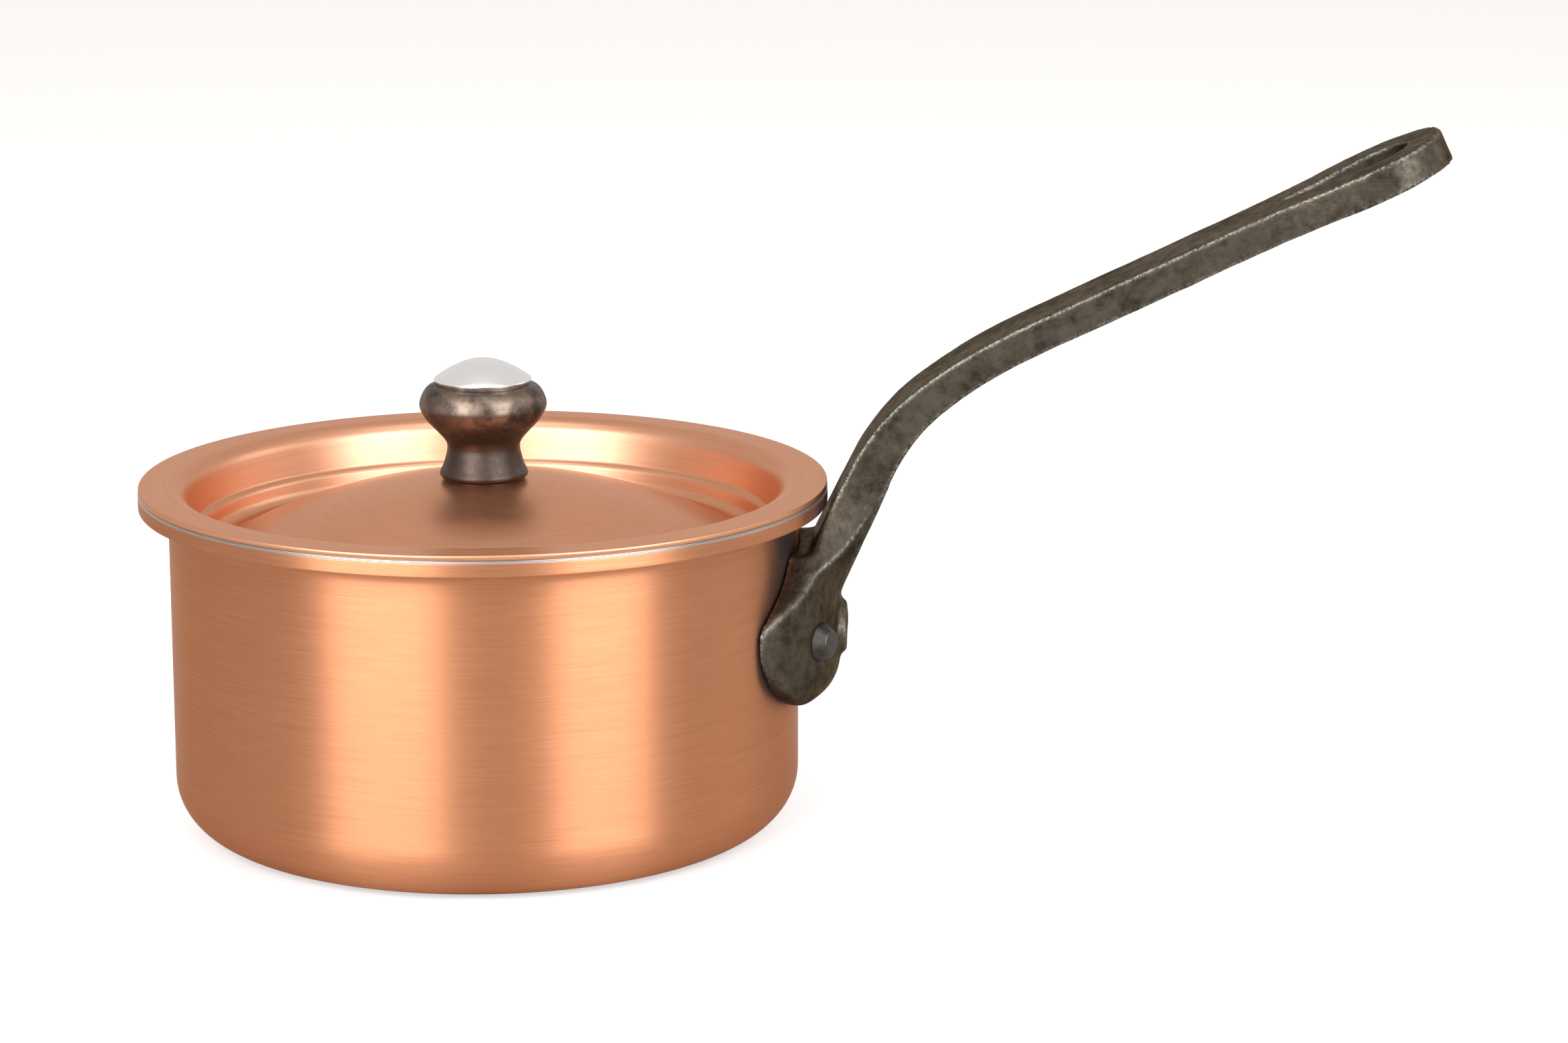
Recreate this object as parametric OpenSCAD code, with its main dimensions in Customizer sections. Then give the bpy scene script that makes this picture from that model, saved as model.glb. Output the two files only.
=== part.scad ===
// Small copper saucepan with a drop-in lid and a cast iron handle.
// Units are millimetres. The origin is the centre of the flat base, on the axis
// of the pan. The handle runs along +X and the lid lifts off along +Z.

/* [Pan] */
// Outside diameter of the straight wall
body_d = 145; // [130:1:180]
// Height of the pan to the top of its rim
pan_h = 79.5; // [72:0.5:100]
// Thickness of the wall and floor, copper and lining together
wall_t = 2.5; // [2:0.1:3]
// Thickness of the stainless lining of the pan and of the lid
lining_t = 0.2; // [0.15:0.05:0.4]
// Outside radius where the floor turns up into the wall
corner_r = 13; // [8:0.5:20]
// How far the pouring rim stands out from the wall
rim_flare = 6.8; // [6:0.1:9]
// Height of the cut edge of the rim
rim_t = 3.4; // [2.8:0.1:4]
// Radius of the hollow under the rim
rim_hollow_r = 3.3; // [2:0.1:4]
// Radius of the pouring lip inside the rim
lip_r = 5; // [4:0.1:5.5]

/* [Lid] */
// Thickness of the lid, copper and lining together
lid_t = 1.5; // [1.2:0.1:2]
// How much smaller the lid is than the rim, all round
lid_inset = 0.15; // [0:0.05:1]
// Width of the flat edge of the lid
lid_flat_w = 6.65; // [5:0.05:7.5]
// Radius where the flat edge turns down into the recess
lid_shoulder_r = 4.5; // [3:0.1:5]
// Steepness of the wall of the recess, in degrees
lid_wall_deg = 76; // [70:1:80]
// Length of the recess wall above its bead
lid_wall_len = 6; // [4:0.1:7]
// Slope of the dome at its foot, in degrees
dome_deg = 27.5; // [20:0.5:30]
// Gap left between the lid and the rim it rests on
lid_rest = 0.05; // [0.02:0.01:0.2]

/* [Lid knob] */
// Widest diameter of the knob
knob_d = 29.2; // [24:0.2:34]
// Height of the knob
knob_h = 27.9; // [24:0.1:32]
// Diameter of the knob at its foot
knob_foot_d = 20.4; // [18:0.2:24]
// Diameter of the knob at its waist
knob_waist_d = 16.8; // [15:0.2:20]
// Diameter of the cap of the knob
knob_cap_d = 22.2; // [20:0.2:24]
// Shank diameter of the rivet that holds the knob
knob_rivet_d = 5; // [4:0.5:6]
// Washer diameter under the lid
washer_d = 13; // [11:0.5:16]
// Washer thickness
washer_t = 1; // [0.8:0.1:1.5]

/* [Handle flange] */
// Width of the flange across the pan
flange_w = 65; // [56:1:66]
// Height of the lowest point of the flange above the base
flange_low = 30; // [26:0.5:34]
// Height of the centre of the rivets and of the boss above the base
rivet_z = 47; // [44:0.5:50]
// Height of the widest point of the flange above the base
flange_mid = 51; // [48:0.5:54]
// Height of the shelf at the top of the flange
shelf_z = 66.8; // [64:0.2:68]
// Thickness of the flange at its middle
flange_t = 9.9; // [9:0.1:11]
// Radius of the domed face of the flange
flange_r = 40; // [39:0.5:44]
// Width of the plain oval boss
boss_w = 14; // [12:0.5:15]
// Height of the plain oval boss
boss_h = 12; // [10:0.5:14]
// How far the boss stands out of the flange
boss_out = 1.7; // [1:0.1:2.5]

/* [Handle arm] */
// Width of the arm
arm_w = 21.5; // [19:0.5:24]
// Thickness of the arm
arm_t = 7.4; // [6:0.1:8.5]
// Gap between the rim and the line of the neck of the handle
neck_gap = 1.6; // [1:0.1:6]
// How much thicker the neck is at its foot than the arm
neck_swell = 3.2; // [0:0.1:5]
// Steepness of the neck, in degrees
neck_deg = 66; // [62:1:70]
// Slope of the straight arm, in degrees
arm_deg = 25.6; // [20:0.2:28]
// Radius of the first, tighter bend along the top face
bend_r1 = 48; // [40:1:60]
// Radius of the second, wider bend along the top face
bend_r2 = 105; // [90:1:120]
// Length of the straight arm to the tip
arm_len = 103.5; // [85:0.5:125]
// Outside diameter of the ring at the end of the arm
ring_d = 32; // [28:0.5:36]
// Length of the eye
eye_len = 31; // [26:0.5:34]
// Width of the eye at its round end
eye_w = 15; // [12:0.5:18]
// Distance from the tip of the handle to the round end of the eye
eye_wall = 8; // [6:0.5:10]

/* [Rivets] */
// Shank diameter of the handle rivets
rivet_d = 5; // [4:0.5:6]
// Distance of each rivet from the middle of the handle
rivet_y = 16.3; // [15:0.1:18]
// Diameter of the rivet head at the flange
head_d = 9; // [8:0.2:10]
// Diameter of the flat end of the rivet head
head_top_d = 5.8; // [5:0.2:7]
// Height of the rivet head
head_h = 3.1; // [2.4:0.1:3.6]
// Clearance of a rivet in its hole, on the radius
hole_fit = 0.05; // [0.02:0.01:0.1]

/* [Hidden] */
$fn = 96;
ARC = 10;
EPS = 0.01;
FAR = 200;

copper = "#c8794f";
steel = "#c9cbcc";
iron = "#4c443b";

// Pan sizes that follow from the ones above
body_r = body_d / 2;
bore_r = body_r - wall_t;
rim_r = body_r + rim_flare;
edge_r = 0.4;
hollow_z = pan_h - rim_t - rim_hollow_r;
floor_r = corner_r - wall_t;

// Lid sizes that follow from the ones above
lid_r = rim_r - lid_inset;
lid_top = pan_h + lid_rest + lid_t;
bead_turn = 46;
bead_in_r = 1.2;
bead_out_r = 2;
bead_len = 1.6;
channel_r = 3;

// Handle sizes that follow from the ones above
dome_x = body_r + flange_t - flange_r;
front_r = 20;
front_x = body_r + flange_t - front_r;
front_z = 55;
front_slope = cos(neck_deg) / sin(neck_deg);
back_z = pan_h;
back_x = rim_r + neck_gap;
shelf_fillet = 3;
bend_mid_deg = 40;

function arc(cx, cz, r, a0, a1, n = ARC) =
    [for (i = [0:n]) [cx + r * cos(a0 + (a1 - a0) * i / n), cz + r * sin(a0 + (a1 - a0) * i / n)]];

function bez(a, b, c, d, n = ARC) =
    [for (i = [0:n]) let (t = i / n, s = 1 - t)
        s * s * s * a + 3 * s * s * t * b + 3 * s * t * t * c + t * t * t * d];

// A path is drawn as points with headings, [x, z, heading]. Each step is either
// [length, 0] for a straight run or [radius, turn] for an arc, left positive.
function last(v) = v[len(v) - 1];

function step(p, s, n) = s[1] == 0
    ? [[p[0] + s[0] * cos(p[2]), p[1] + s[0] * sin(p[2]), p[2]]]
    : let (k = s[1] > 0 ? 90 : -90, cx = p[0] + s[0] * cos(p[2] + k), cz = p[1] + s[0] * sin(p[2] + k))
        [for (i = [1:n]) let (h = p[2] + s[1] * i / n)
            [cx - s[0] * cos(h + k), cz - s[0] * sin(h + k), h]];

function walk(pts, steps, i = 0, n = ARC) =
    i == len(steps) ? pts : walk(concat(pts, step(last(pts), steps[i], n)), steps, i + 1, n);

function beside(pts, d) = [for (p = pts) [p[0] - d * sin(p[2]), p[1] + d * cos(p[2])]];

function back(v) = [for (i = [len(v) - 1:-1:0]) v[i]];

function mirrored(v) = concat(v, [for (p = back(v)) [-p[0], p[1]]]);

function oval(w, h, n = 48) = [for (i = [0:n - 1]) [w / 2 * cos(360 * i / n), h / 2 * sin(360 * i / n)]];

// Smooth curve through a list of points
function curve(p, n = 4) = concat([for (i = [0:len(p) - 2]) let (
        a = p[max(i - 1, 0)], b = p[i], c = p[i + 1], d = p[min(i + 2, len(p) - 1)])
    for (k = [0:n - 1]) let (t = k / n)
        0.5 * (2 * b + t * (c - a) + t * t * (2 * a - 5 * b + 4 * c - d)
            + t * t * t * (3 * b - a - 3 * c + d))], [last(p)]);

// Inner face of the pan, or of its copper when grow is the lining thickness
function inner_face(grow) = concat(
    [[0, wall_t - grow]],
    arc(bore_r - floor_r, wall_t + floor_r, floor_r + grow, -90, 0),
    back(arc(bore_r + lip_r, pan_h - lip_r, lip_r - grow, 90, 180)),
    [[rim_r, pan_h - grow]]);

function outer_face() = concat(
    [[0, 0]],
    arc(body_r - corner_r, corner_r, corner_r, -90, 0),
    arc(body_r + rim_hollow_r, hollow_z, rim_hollow_r, 180, 90),
    arc(rim_r - edge_r, pan_h - rim_t + edge_r, edge_r, -90, 0, 4));

// Upper face of the lid, drawn from its edge inwards
lid_path = walk([[lid_r, lid_top, 180]], [
    [lid_flat_w, 0],
    [lid_shoulder_r, lid_wall_deg],
    [lid_wall_len, 0],
    [bead_in_r, -bead_turn],
    [bead_out_r, bead_turn],
    [bead_len, 0],
    [channel_r, -(lid_wall_deg + dome_deg)]]);
foot = last(lid_path);
dome_r = foot[0] / sin(dome_deg);
dome_cz = foot[1] - dome_r * cos(dome_deg);
dome_top = dome_cz + dome_r;

function lid_face(drop) = concat(
    beside(lid_path, drop),
    [for (p = arc(0, dome_cz, dome_r - drop, 90 - dome_deg, 90, 2 * ARC)) p]);

// Outline of the flange and neck seen from the front, half of it
flange_half = concat(
    [for (a = [-90:6:0]) [flange_w / 2 * pow(max(cos(a), 0), 0.82),
        flange_mid - (flange_mid - flange_low) * pow(-sin(a), 0.94)]],
    bez([flange_w / 2, flange_mid], [flange_w / 2, flange_mid + 7],
        [arm_w / 2, shelf_z - 7], [arm_w / 2, shelf_z + 15], 16),
    [[arm_w / 2, shelf_z + 30]]);

// Top face of the arm seen from the side, starting low on the neck
foot_x = back_x - (back_z - shelf_z) * front_slope;
neck_run = (back_z - shelf_z + 8) / sin(neck_deg);
arm_path = walk([[foot_x + neck_swell / sin(neck_deg), shelf_z, neck_deg]], [
    [neck_run / 4, 0], [neck_run / 4, 0], [neck_run / 4, 0], [neck_run / 4, 0],
    [bend_r1, bend_mid_deg - neck_deg],
    [bend_r2, arm_deg - bend_mid_deg]]);
arm_start = last(arm_path);

// The neck is thick at its foot and eases to the thickness of the arm
function swell(i) = pow(1 - i / (len(arm_path) - 1), 2);
neck_upper = [for (i = [0:len(arm_path) - 1]) let (p = arm_path[i], d = neck_swell * swell(i))
    [p[0] - d * sin(p[2]), p[1] + d * cos(p[2])]];

// Axis of a rivet, square to the domed face it stands on
rivet_deg = asin(rivet_y / flange_r);
seat = flange_r - head_d * head_d / 8 / flange_r - 0.3;
lining_s = -dome_x * cos(rivet_deg) + sqrt(bore_r * bore_r - pow(dome_x * sin(rivet_deg), 2));

module round_about(pts) {
    rotate_extrude($fn = 180)
        polygon(pts);
}

// Stands a flat outline in X and Z on its side, w wide across Y
module side_slab(pts, w) {
    translate([0, w / 2, 0])
        rotate([90, 0, 0])
            linear_extrude(height = w)
                polygon(pts);
}

// Stands a flat outline in Y and Z up, running out along X
module front_slab(pts, x0, x1) {
    translate([x0, 0, 0])
        rotate([90, 0, 90])
            linear_extrude(height = x1 - x0)
                polygon(pts);
}

// Places a child with its Z along a rivet axis, s mm out from the dome's axis
module on_rivet(side, s) {
    translate([dome_x, 0, rivet_z])
        rotate([0, 0, side * rivet_deg])
            rotate([0, 90, 0])
                translate([0, 0, s])
                    children();
}

module rivet_holes(s0, s1) {
    for (side = [-1, 1])
        on_rivet(side, s0)
            cylinder(r = rivet_d / 2 + hole_fit, h = s1 - s0, $fn = 32);
}

module pan_body() {
    color(copper)
        difference() {
            round_about(concat(outer_face(), back(inner_face(lining_t))));
            rivet_holes(0, flange_r);
        }
}

module pan_lining() {
    color(steel)
        difference() {
            round_about(concat(inner_face(lining_t), back(inner_face(0))));
            rivet_holes(0, flange_r);
        }
}

module flange_dome() {
    translate([dome_x, 0, 0])
        round_about(concat(
            [[0, flange_low - 1]],
            [for (a = [0:9:90]) [flange_r - flange_t + flange_t * sin(a), flange_low + flange_t * (1 - cos(a))]],
            [[flange_r, shelf_z + 4], [0, shelf_z + 4]]));
}

module neck_front() {
    top = shelf_z + 14;
    translate([front_x, 0, 0])
        round_about([
            [0, flange_mid],
            [front_r - (front_z - flange_mid) * front_slope, flange_mid],
            [front_r + (top - front_z) * front_slope, top],
            [0, top]]);
}

// Space between the rim and the neck, kept clear down to the shelf
module behind_neck() {
    x0 = foot_x;
    side_slab(concat(
        [[0, shelf_z]],
        arc(x0 - shelf_fillet * tan(neck_deg / 2) + shelf_fillet * front_slope * 0.6,
            shelf_z + shelf_fillet, shelf_fillet, -90, neck_deg - 90, 6),
        [for (i = [1:6]) neck_upper[i]],
        [[neck_upper[6][0], back_z + 30], [0, back_z + 30]]), FAR);
}

module flange() {
    difference() {
        union() {
            intersection() {
                flange_dome();
                front_slab(mirrored(flange_half), 0, FAR);
            }
            intersection() {
                neck_front();
                front_slab(mirrored(flange_half), 0, FAR);
            }
        }
        behind_neck();
    }
}

module boss() {
    translate([0, 0, rivet_z])
        difference() {
            front_slab(oval(boss_w, boss_h), body_r, body_r + flange_t + boss_out);
            front_slab(oval(boss_w - 3, boss_h - 3), body_r + flange_t + boss_out - 0.5, FAR);
        }
}

// Places a child in the frame of the straight arm, with X along it and its top face at Z = 0
module on_arm() {
    translate([arm_start[0], 0, arm_start[1]])
        rotate([0, -arm_deg, 0])
            children();
}

// Arm with its ring and eye: the side view of the bent bar, cut to the outline seen from above
module arm() {
    ring_r = ring_d / 2;
    ring_x = arm_len - ring_r;
    neck_in = 31;
    eye_r = eye_w / 2;
    eye_x = arm_len - eye_wall - eye_r;
    tip = step(arm_start, [arm_len + 5, 0], 1);
    half = concat(
        [[-95, arm_w / 2], [ring_x - neck_in, arm_w / 2]],
        bez([ring_x - neck_in, arm_w / 2], [ring_x - neck_in * 0.55, arm_w / 2],
            [ring_x - neck_in * 0.4, ring_r], [ring_x, ring_r]),
        arc(ring_x, 0, ring_r, 90, 0, 16));
    eye_half = concat(
        [[eye_x + eye_r - eye_len, 0.8]],
        bez([eye_x + eye_r - eye_len, 0.8], [eye_x - eye_len * 0.35, 3.4],
            [eye_x - eye_r * 0.9, eye_r], [eye_x, eye_r]),
        arc(eye_x, 0, eye_r, 90, 0, 12));
    difference() {
        intersection() {
            side_slab(concat(neck_upper, beside(tip, 0), beside(tip, -arm_t),
                back(beside(arm_path, -arm_t))), ring_d + 4);
            on_arm()
                translate([0, 0, -100])
                    linear_extrude(height = 130)
                        polygon(concat(half, [for (p = back(half)) [p[0], -p[1]]]));
        }
        on_arm()
            translate([0, 0, -arm_t - 1])
                linear_extrude(height = arm_t + 2)
                    polygon(concat(eye_half, [for (p = back(eye_half)) [p[0], -p[1]]]));
    }
}

module handle() {
    color(iron)
        difference() {
            union() {
                flange();
                boss();
                arm();
            }
            cylinder(r = body_r, h = pan_h, $fn = 180);
            rivet_holes(0, seat + 1);
            for (side = [-1, 1])
                on_rivet(side, seat)
                    cylinder(d = head_d + 0.6, h = head_h + 2, $fn = 48);
        }
}

// One handle rivet: head on the flange, shank, and the end closed inside the pan
module handle_rivet(side) {
    inner_d = rivet_d * 1.7;
    inner_h = 2.4;
    color(steel)
        union() {
            on_rivet(side, seat)
                cylinder(d1 = head_d, d2 = head_top_d, h = head_h, $fn = 48);
            on_rivet(side, lining_s - 1)
                cylinder(d = rivet_d, h = seat - lining_s + 1 + EPS, $fn = 48);
            intersection() {
                on_rivet(side, lining_s - inner_h)
                    cylinder(d1 = inner_d * 0.6, d2 = inner_d, h = inner_h, $fn = 48);
                cylinder(r = bore_r, h = pan_h, $fn = 180);
            }
            intersection() {
                on_rivet(side, lining_s - EPS)
                    cylinder(d = inner_d, h = inner_h, $fn = 48);
                cylinder(r = bore_r, h = pan_h, $fn = 180);
            }
        }
}

module rivet_left() {
    handle_rivet(-1);
}

module rivet_right() {
    handle_rivet(1);
}

module knob_hole(z0, z1) {
    translate([0, 0, z0])
        cylinder(r = knob_rivet_d / 2 + hole_fit, h = z1 - z0, $fn = 48);
}

module lid_shell() {
    color(copper)
        difference() {
            round_about(concat(lid_face(0), back(lid_face(lid_t - lining_t))));
            knob_hole(dome_top - 10, dome_top + 10);
        }
}

module lid_lining() {
    color(steel)
        difference() {
            round_about(concat(lid_face(lid_t - lining_t), back(lid_face(lid_t))));
            knob_hole(dome_top - 10, dome_top + 10);
        }
}

module lid_knob() {
    k = knob_h / 27.9;
    r_foot = knob_foot_d / 2;
    r_waist = knob_waist_d / 2;
    r_belly = knob_d / 2;
    r_cap = knob_cap_d / 2;
    body = curve([
        [r_foot - 0.8, 0.1], [r_foot, 1.3], [r_foot - 0.9, 3.4], [r_waist, 6.9],
        [r_waist + 0.4, 9], [r_waist + 2.6, 11.6], [r_belly - 1.2, 14.3], [r_belly, 17],
        [r_belly - 0.5, 19.4], [r_belly - 1.9, 21.4], [r_cap - 0.6, 22.2]]);
    cap = curve([
        [r_cap - 0.3, 22.4], [r_cap, 22.9], [r_cap - 0.2, 23.5], [r_cap - 2.9, 25.3],
        [r_cap - 5.4, 26.6], [r_cap - 7.8, 27.5], [0.02, 27.9]]);
    color(iron)
        difference() {
            translate([0, 0, dome_top])
                round_about(concat(
                    [[0, -1]],
                    [[r_foot - 0.8, -1]],
                    [for (p = concat(body, cap)) [p[0], p[1] * k]],
                    [[0, 27.9 * k]]));
            round_about(concat([[0, dome_top - 20]], [[40, dome_top - 20]],
                [for (p = arc(0, dome_cz, dome_r, 70, 90, 20)) p]));
            knob_hole(dome_top - 5, dome_top + 15);
        }
}

module knob_washer() {
    z1 = dome_top - lid_t - washer_d * washer_d / 8 / dome_r;
    color(steel)
        difference() {
            translate([0, 0, z1 - washer_t])
                cylinder(d = washer_d, h = washer_t, $fn = 96);
            knob_hole(z1 - 5, z1 + 5);
        }
}

module knob_rivet() {
    z1 = dome_top - lid_t - washer_d * washer_d / 8 / dome_r - washer_t;
    head_r = knob_rivet_d;
    head = 2.2;
    color(steel)
        round_about(concat(
            [[0, z1 - head]],
            [for (a = [10:10:90]) [head_r * sin(a), z1 - head * cos(a)]],
            [[knob_rivet_d / 2, z1], [knob_rivet_d / 2, dome_top + 15 - 0.2], [0, dome_top + 15 - 0.2]]));
}

pan_body();
pan_lining();
handle();
rivet_left();
rivet_right();
lid_shell();
lid_lining();
lid_knob();
knob_washer();
knob_rivet();
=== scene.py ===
import math

import bmesh
import bpy
from mathutils import Matrix, Vector, noise


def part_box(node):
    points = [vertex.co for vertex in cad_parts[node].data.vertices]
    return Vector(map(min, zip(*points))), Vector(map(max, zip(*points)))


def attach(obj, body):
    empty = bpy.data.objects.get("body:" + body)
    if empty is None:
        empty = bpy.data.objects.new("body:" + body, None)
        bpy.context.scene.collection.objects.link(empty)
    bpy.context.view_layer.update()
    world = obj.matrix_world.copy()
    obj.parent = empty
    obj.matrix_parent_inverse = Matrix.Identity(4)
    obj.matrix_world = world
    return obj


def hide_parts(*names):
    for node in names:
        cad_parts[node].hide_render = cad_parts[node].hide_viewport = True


bl_info = {
    "name": "Copper saucepan",
    "version": (1, 0, 0),
    "blender": (4, 5, 0),
    "location": "3D View > Sidebar > Saucepan",
    "description": "Builds the finish of a small lidded copper saucepan around its packed frame",
    "category": "Object",
}

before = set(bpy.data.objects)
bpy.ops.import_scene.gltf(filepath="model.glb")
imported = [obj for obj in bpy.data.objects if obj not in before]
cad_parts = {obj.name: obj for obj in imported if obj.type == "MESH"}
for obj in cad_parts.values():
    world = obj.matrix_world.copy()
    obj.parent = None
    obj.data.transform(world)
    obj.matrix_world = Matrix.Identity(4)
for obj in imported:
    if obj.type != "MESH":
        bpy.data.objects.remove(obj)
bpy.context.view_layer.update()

MM = 0.001
TAU = 2 * math.pi

CUT_EDGE = 0.4 * MM      # radius that a file leaves on the cut edge of the rim
LID_EDGE = 0.35 * MM     # the same on the edge of the lid
KNOB_SIDES = 160
RIVET_SIDES = 64
KNOB_TALL = 27.9         # height of the knob in its own drawing, in mm
KNOB_CAP_FOOT = 22.3     # height in that drawing where the buffed cap starts
FLANGE_TOP = 78 * MM     # below this the flange starts to be rounded more than the arm
FLANGE_FADE = 18 * MM    # over which that rounding comes in
SEAT_R = 6.5 * MM        # round each rivet the flange is left as cast
SEAT_FADE = 3 * MM
PROUD = 0.03             # how far an edge stands out before hands start to polish it
PROUD_FADE = 0.12        # and over which it becomes fully polished
FLOOR_HALF = 20.0        # metres from the middle of the floor to its edge


# ---------------------------------------------------------------- the frame

def reach(node):
    """Radius of a turned node, as far as all four sides of its box allow."""
    lo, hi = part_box(node)
    return min(-lo.x, -lo.y, hi.x, hi.y)


def low(node):
    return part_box(node)[0].z


def high(node):
    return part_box(node)[1].z


# ---------------------------------------------------------------- settings

def length(name, text, value):
    """A size in metres that a user may change."""
    return bpy.props.FloatProperty(name=name, description=text, default=value, min=0, unit="LENGTH",
                                   precision=5)


def angle(name, text, degrees):
    return bpy.props.FloatProperty(name=name, description=text, default=math.radians(degrees),
                                   subtype="ANGLE")


def amount(name, text, value, top=1.0):
    return bpy.props.FloatProperty(name=name, description=text, default=value, min=0, max=top)


def count(name, text, value):
    return bpy.props.IntProperty(name=name, description=text, default=value, min=3)


def linear(code):
    """Turns an sRGB hex colour into the linear one that shaders take."""
    parts = [int(code[i:i + 2], 16) / 255 for i in (1, 3, 5)]
    return tuple(c / 12.92 if c <= 0.04045 else ((c + 0.055) / 1.055) ** 2.4 for c in parts)


def colour(name, text, code):
    return bpy.props.FloatVectorProperty(name=name, description=text, default=linear(code), size=3,
                                         min=0, max=1, subtype="COLOR")


class SaucepanPan(bpy.types.PropertyGroup):
    rim_r: length("Rim radius", "Radius of the cut edge of the rim", reach("pan_body"))
    height: length("Height", "Height of the pan to the top of its rim", high("pan_lining"))
    flare: length("Rim flare", "How far the rim stands out from the wall", 6.8 * MM)
    wall: length("Wall", "Thickness of the wall, lining and all", 2.5 * MM)
    lining: length("Lining", "Thickness of the stainless lining", 0.2 * MM)
    corner: length("Corner", "Radius where the floor turns up into the wall", 13 * MM)
    rim: length("Rim edge", "Height of the cut edge of the rim", 3.4 * MM)
    hollow: length("Hollow", "Radius of the hollow under the rim", 3.3 * MM)
    lip: length("Lip", "Radius of the pouring lip inside the rim", 5 * MM)
    sides: count("Sides", "Faces round a turned piece", 288)
    copper: colour("Copper", "Colour of the brushed copper", "#c1805a")
    copper_deep: colour("Deep copper", "Colour of the copper in its darker brush lines", "#b3724b")
    steel: colour("Stainless", "Colour of the stainless lining", "#b4b1ad")


class SaucepanLid(bpy.types.PropertyGroup):
    edge_r: length("Lid radius", "Radius of the lid", reach("lid_shell"))
    top: length("Top", "Height of the flat edge of the lid", high("pan_lining") + 1.55 * MM)
    thick: length("Thickness", "Thickness of the lid, lining and all", 1.5 * MM)
    flat: length("Flat edge", "Width of the flat edge", 6.65 * MM)
    shoulder: length("Shoulder", "Radius where the edge turns down", 4.5 * MM)
    wall_slope: angle("Wall slope", "Steepness of the wall of the recess", 76)
    wall: length("Wall", "Length of the recess wall above its bead", 6 * MM)
    bead: angle("Bead", "How far the bead in the recess wall turns out and back", 46)
    bead_in: length("Bead start", "Radius of the start of the bead", 1.2 * MM)
    bead_out: length("Bead end", "Radius of the end of the bead", 2 * MM)
    step: length("Step", "Length of the wall below the bead", 1.6 * MM)
    channel: length("Channel", "Radius of the channel at the foot of the wall", 3 * MM)
    dome_slope: angle("Dome slope", "Slope of the dome at its foot", 27.5)
    copper: colour("Copper", "Colour of the satin copper", "#d19572")
    copper_deep: colour("Deep copper", "Colour of the satin copper in its darker lines", "#c88c69")


class SaucepanKnob(bpy.types.PropertyGroup):
    foot: length("Foot", "Diameter at the foot", 20.4 * MM)
    waist: length("Waist", "Diameter at the waist", 16.8 * MM)
    cap: length("Cap", "Diameter of the cap", 22.2 * MM)
    iron: colour("Iron", "Colour of the turned iron", "#766354")
    # The dark iron also serves as painted shade under the belly of the knob, below its waist.
    iron_dark: colour("Dark iron", "Colour of the wax left in the hollows", "#43362f")
    polish: colour("Polished iron", "Colour of the polished cap", "#ece8e4")


class SaucepanHandle(bpy.types.PropertyGroup):
    voxel: length("Mould grain", "Cell size that the casting is rebuilt with", 0.48 * MM)
    rounding: bpy.props.IntProperty(name="Rounding", description="Smoothing passes over the casting",
                                    default=7, min=0)
    pillow: bpy.props.IntProperty(name="Pillow", default=40, min=0,
                                  description="Further smoothing passes over the flange")
    waver: length("Waver", "Depth of the slow unevenness of the casting", 0.12 * MM)
    iron: colour("Iron", "Colour of the waxed iron", "#50463b")
    iron_dark: colour("Dark iron", "Colour of the iron in its hollows", "#2a251d")
    edge: colour("Worn iron", "Colour of the edges that hands have polished", "#8f897b")


class SaucepanRivets(bpy.types.PropertyGroup):
    shank: length("Shank", "Diameter of the shank of a handle rivet", 5 * MM)
    head: length("Head", "Diameter of the head at the flange", 9 * MM)
    head_top: length("Head top", "Diameter of the flat end of the head", 5.8 * MM)
    head_h: length("Head height", "Height of the head", 3.1 * MM)
    apart: length("Offset", "Distance of each rivet from the middle of the handle", 16.3 * MM)
    dome_r: length("Flange radius", "Radius of the domed face of the flange", 40 * MM)
    dome_t: length("Flange thickness", "Thickness of the flange at its middle", 9.9 * MM)
    steel: colour("Steel", "Colour of the dulled rivet steel", "#4d4640")
    washer: colour("Washer steel", "Colour of the washer and the rivet under the lid", "#b5b5b4")


class SaucepanStudio(bpy.types.PropertyGroup):
    distance: length("Distance", "Distance of the camera from the middle of the pan", 1022.1 * MM)
    aim_z: length("Aim height", "Height of the point that the camera is set out from", 40 * MM)
    azimuth: angle("Azimuth", "How far the handle points towards the camera", 7)
    elevation: angle("Elevation", "Height angle of the camera", 14.46)
    pan: angle("Pan", "How far the camera turns right of its aim", 3.91)
    tilt: angle("Tilt", "How far the camera turns up from its aim", 1.61)
    roll: angle("Roll", "How far the camera leans", 1.0)
    focal: bpy.props.FloatProperty(name="Focal length", default=100.5, min=1,
                                   description="Focal length in mm on a 36 mm sensor")
    floor: colour("Floor", "Colour of the pale floor", "#bab4ad")
    light: colour("Light", "Colour of the soft lights, a little cool", "#e3f1ff")
    lift: amount("Lift", "How far the floor itself is lifted to white", 0.5, 2)
    air: amount("Air", "Brightness of the light from all round", 0.8, 5)


# ---------------------------------------------------------------- outlines

def arc(x, z, r, a0, a1, n=24):
    """Points round a circle, with its angles in degrees."""
    return [(x + r * math.cos(math.radians(a0 + (a1 - a0) * i / n)),
             z + r * math.sin(math.radians(a0 + (a1 - a0) * i / n))) for i in range(n + 1)]


def walk(x, z, heading, steps, n=24):
    """Points and headings along a path of (length, 0) runs and (radius, turn) arcs, left positive."""
    path = [(x, z, heading)]
    for size, turn in steps:
        x, z, h = path[-1]
        if turn == 0:
            path.append((x + size * math.cos(h), z + size * math.sin(h), h))
            continue
        k = math.copysign(math.pi / 2, turn)
        cx, cz = x + size * math.cos(h + k), z + size * math.sin(h + k)
        for i in range(1, n + 1):
            g = h + turn * i / n
            path.append((cx - size * math.cos(g + k), cz - size * math.sin(g + k), g))
    return path


def beside(path, d):
    """The same path, d to its left."""
    return [(x - d * math.sin(h), z + d * math.cos(h)) for x, z, h in path]


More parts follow.
